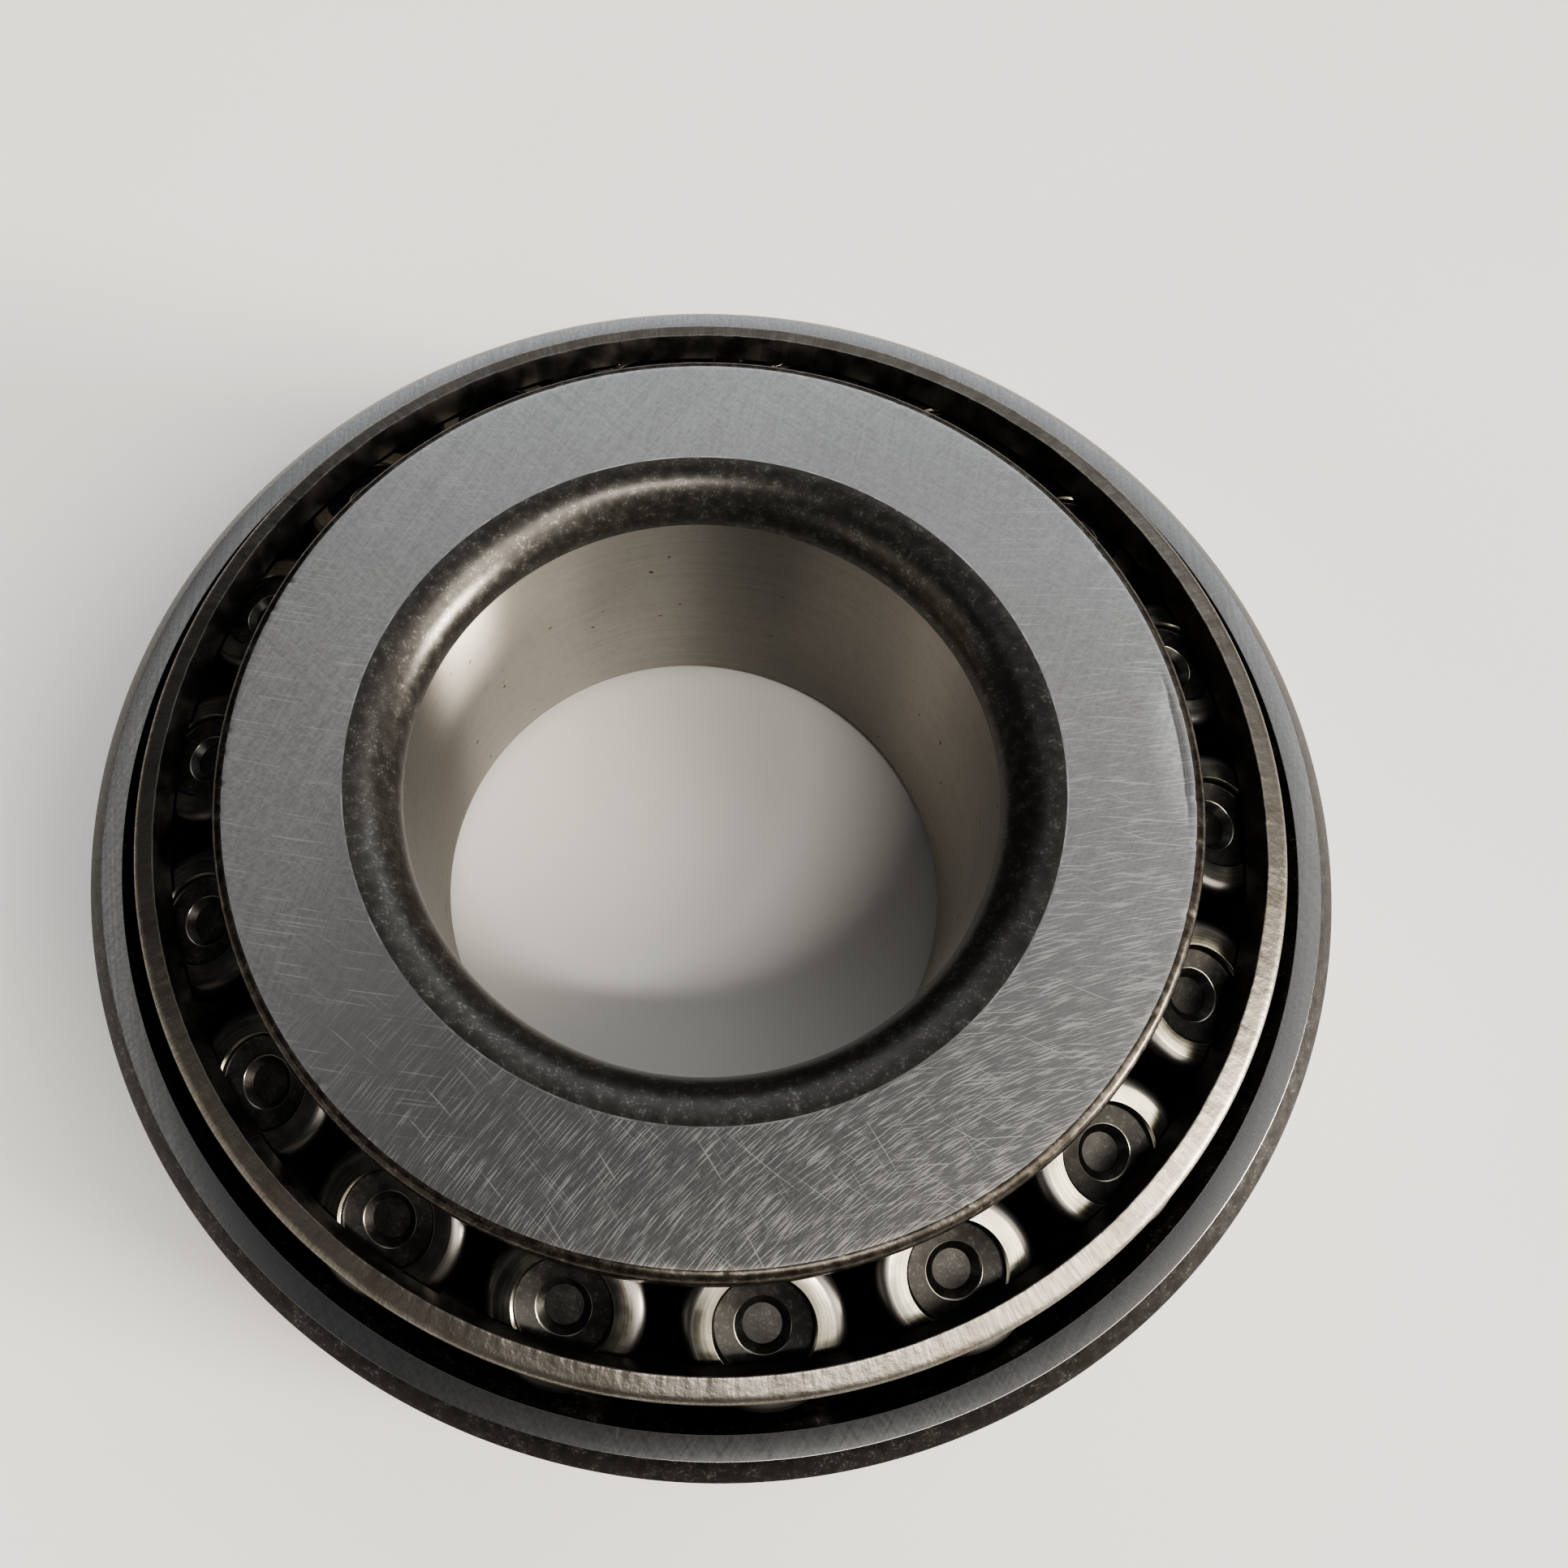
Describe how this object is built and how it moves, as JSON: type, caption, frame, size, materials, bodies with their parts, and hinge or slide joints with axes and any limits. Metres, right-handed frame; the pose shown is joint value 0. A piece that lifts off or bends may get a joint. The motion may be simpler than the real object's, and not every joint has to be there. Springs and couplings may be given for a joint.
{
  "type": "tapered roller bearing",
  "caption": "Single-row tapered roller bearing: inner ring with a wide back face and guiding rib, pressed steel cage of tapered rollers, and a separable outer ring.",
  "frame": {"origin": "on the bearing axis, in the plane of the outer ring's back face", "axes": "+Z is the bearing axis, from the outer ring's back face towards the inner ring's back face; +X points from the axis to roller_01"},
  "size_m": [0.0952, 0.0952, 0.0302],
  "materials": {
    "outer_ring_steel": "ground faces, dark heat-treated corners",
    "inner_ring_steel": "ground back face and bore, dark scaled corner radii",
    "cage_steel": "pressed sheet steel, satin, with a sheared rim",
    "roller_steel": "ground, with dark forged recesses in the ends"
  },
  "bodies": {
    "outer_ring": {"outer_ring": "outer_ring_steel"},
    "inner_ring": {"inner_ring": "inner_ring_steel"},
    "cage": {"cage": "cage_steel"},
    "roller_01": {"roller_01": "roller_steel"},
    "roller_02": {"roller_02": "roller_steel"},
    "roller_03": {"roller_03": "roller_steel"},
    "roller_04": {"roller_04": "roller_steel"},
    "roller_05": {"roller_05": "roller_steel"},
    "roller_06": {"roller_06": "roller_steel"},
    "roller_07": {"roller_07": "roller_steel"},
    "roller_08": {"roller_08": "roller_steel"},
    "roller_09": {"roller_09": "roller_steel"},
    "roller_10": {"roller_10": "roller_steel"},
    "roller_11": {"roller_11": "roller_steel"},
    "roller_12": {"roller_12": "roller_steel"},
    "roller_13": {"roller_13": "roller_steel"},
    "roller_14": {"roller_14": "roller_steel"},
    "roller_15": {"roller_15": "roller_steel"},
    "roller_16": {"roller_16": "roller_steel"},
    "roller_17": {"roller_17": "roller_steel"},
    "roller_18": {"roller_18": "roller_steel"}
  },
  "joints": [
    {"name": "inner_ring_spin", "type": "hinge", "parent": "outer_ring", "child": "inner_ring", "pos_m": [0, 0, 0.03016], "axis": [0, 0, 1], "continuous": true},
    {"name": "cage_spin", "type": "hinge", "parent": "outer_ring", "child": "cage", "pos_m": [0, 0, 0.02476], "axis": [0, 0, 1], "continuous": true},
    {"name": "roller_01_spin", "type": "hinge", "parent": "cage", "child": "roller_01", "pos_m": [0.03843, 0, 0.02476], "axis": [0.3007, 0, 0.9537], "continuous": true},
    {"name": "roller_02_spin", "type": "hinge", "parent": "cage", "child": "roller_02", "pos_m": [0.03611, 0.01314, 0.02476], "axis": [0.2826, 0.1028, 0.9537], "continuous": true},
    {"name": "roller_03_spin", "type": "hinge", "parent": "cage", "child": "roller_03", "pos_m": [0.02944, 0.0247, 0.02476], "axis": [0.2304, 0.1933, 0.9537], "continuous": true},
    {"name": "roller_04_spin", "type": "hinge", "parent": "cage", "child": "roller_04", "pos_m": [0.01921, 0.03328, 0.02476], "axis": [0.1504, 0.2604, 0.9537], "continuous": true},
    {"name": "roller_05_spin", "type": "hinge", "parent": "cage", "child": "roller_05", "pos_m": [0.00667, 0.03785, 0.02476], "axis": [0.0522, 0.2961, 0.9537], "continuous": true},
    {"name": "roller_06_spin", "type": "hinge", "parent": "cage", "child": "roller_06", "pos_m": [-0.00667, 0.03785, 0.02476], "axis": [-0.0522, 0.2961, 0.9537], "continuous": true},
    {"name": "roller_07_spin", "type": "hinge", "parent": "cage", "child": "roller_07", "pos_m": [-0.01921, 0.03328, 0.02476], "axis": [-0.1504, 0.2604, 0.9537], "continuous": true},
    {"name": "roller_08_spin", "type": "hinge", "parent": "cage", "child": "roller_08", "pos_m": [-0.02944, 0.0247, 0.02476], "axis": [-0.2304, 0.1933, 0.9537], "continuous": true},
    {"name": "roller_09_spin", "type": "hinge", "parent": "cage", "child": "roller_09", "pos_m": [-0.03611, 0.01314, 0.02476], "axis": [-0.2826, 0.1028, 0.9537], "continuous": true},
    {"name": "roller_10_spin", "type": "hinge", "parent": "cage", "child": "roller_10", "pos_m": [-0.03843, 0, 0.02476], "axis": [-0.3007, 0, 0.9537], "continuous": true},
    {"name": "roller_11_spin", "type": "hinge", "parent": "cage", "child": "roller_11", "pos_m": [-0.03611, -0.01314, 0.02476], "axis": [-0.2826, -0.1028, 0.9537], "continuous": true},
    {"name": "roller_12_spin", "type": "hinge", "parent": "cage", "child": "roller_12", "pos_m": [-0.02944, -0.0247, 0.02476], "axis": [-0.2304, -0.1933, 0.9537], "continuous": true},
    {"name": "roller_13_spin", "type": "hinge", "parent": "cage", "child": "roller_13", "pos_m": [-0.01921, -0.03328, 0.02476], "axis": [-0.1504, -0.2604, 0.9537], "continuous": true},
    {"name": "roller_14_spin", "type": "hinge", "parent": "cage", "child": "roller_14", "pos_m": [-0.00667, -0.03785, 0.02476], "axis": [-0.0522, -0.2961, 0.9537], "continuous": true},
    {"name": "roller_15_spin", "type": "hinge", "parent": "cage", "child": "roller_15", "pos_m": [0.00667, -0.03785, 0.02476], "axis": [0.0522, -0.2961, 0.9537], "continuous": true},
    {"name": "roller_16_spin", "type": "hinge", "parent": "cage", "child": "roller_16", "pos_m": [0.01921, -0.03328, 0.02476], "axis": [0.1504, -0.2604, 0.9537], "continuous": true},
    {"name": "roller_17_spin", "type": "hinge", "parent": "cage", "child": "roller_17", "pos_m": [0.02944, -0.0247, 0.02476], "axis": [0.2304, -0.1933, 0.9537], "continuous": true},
    {"name": "roller_18_spin", "type": "hinge", "parent": "cage", "child": "roller_18", "pos_m": [0.03611, -0.01314, 0.02476], "axis": [0.2826, -0.1028, 0.9537], "continuous": true}
  ],
  "couplings": [
    {"joint": "cage_spin", "follows": "inner_ring_spin", "ratio": 0.43076},
    {"joint": "roller_01_spin", "follows": "inner_ring_spin", "ratio": -3.3775},
    {"joint": "roller_02_spin", "follows": "inner_ring_spin", "ratio": -3.3775},
    {"joint": "roller_03_spin", "follows": "inner_ring_spin", "ratio": -3.3775},
    {"joint": "roller_04_spin", "follows": "inner_ring_spin", "ratio": -3.3775},
    {"joint": "roller_05_spin", "follows": "inner_ring_spin", "ratio": -3.3775},
    {"joint": "roller_06_spin", "follows": "inner_ring_spin", "ratio": -3.3775},
    {"joint": "roller_07_spin", "follows": "inner_ring_spin", "ratio": -3.3775},
    {"joint": "roller_08_spin", "follows": "inner_ring_spin", "ratio": -3.3775},
    {"joint": "roller_09_spin", "follows": "inner_ring_spin", "ratio": -3.3775},
    {"joint": "roller_10_spin", "follows": "inner_ring_spin", "ratio": -3.3775},
    {"joint": "roller_11_spin", "follows": "inner_ring_spin", "ratio": -3.3775},
    {"joint": "roller_12_spin", "follows": "inner_ring_spin", "ratio": -3.3775},
    {"joint": "roller_13_spin", "follows": "inner_ring_spin", "ratio": -3.3775},
    {"joint": "roller_14_spin", "follows": "inner_ring_spin", "ratio": -3.3775},
    {"joint": "roller_15_spin", "follows": "inner_ring_spin", "ratio": -3.3775},
    {"joint": "roller_16_spin", "follows": "inner_ring_spin", "ratio": -3.3775},
    {"joint": "roller_17_spin", "follows": "inner_ring_spin", "ratio": -3.3775},
    {"joint": "roller_18_spin", "follows": "inner_ring_spin", "ratio": -3.3775}
  ]
}
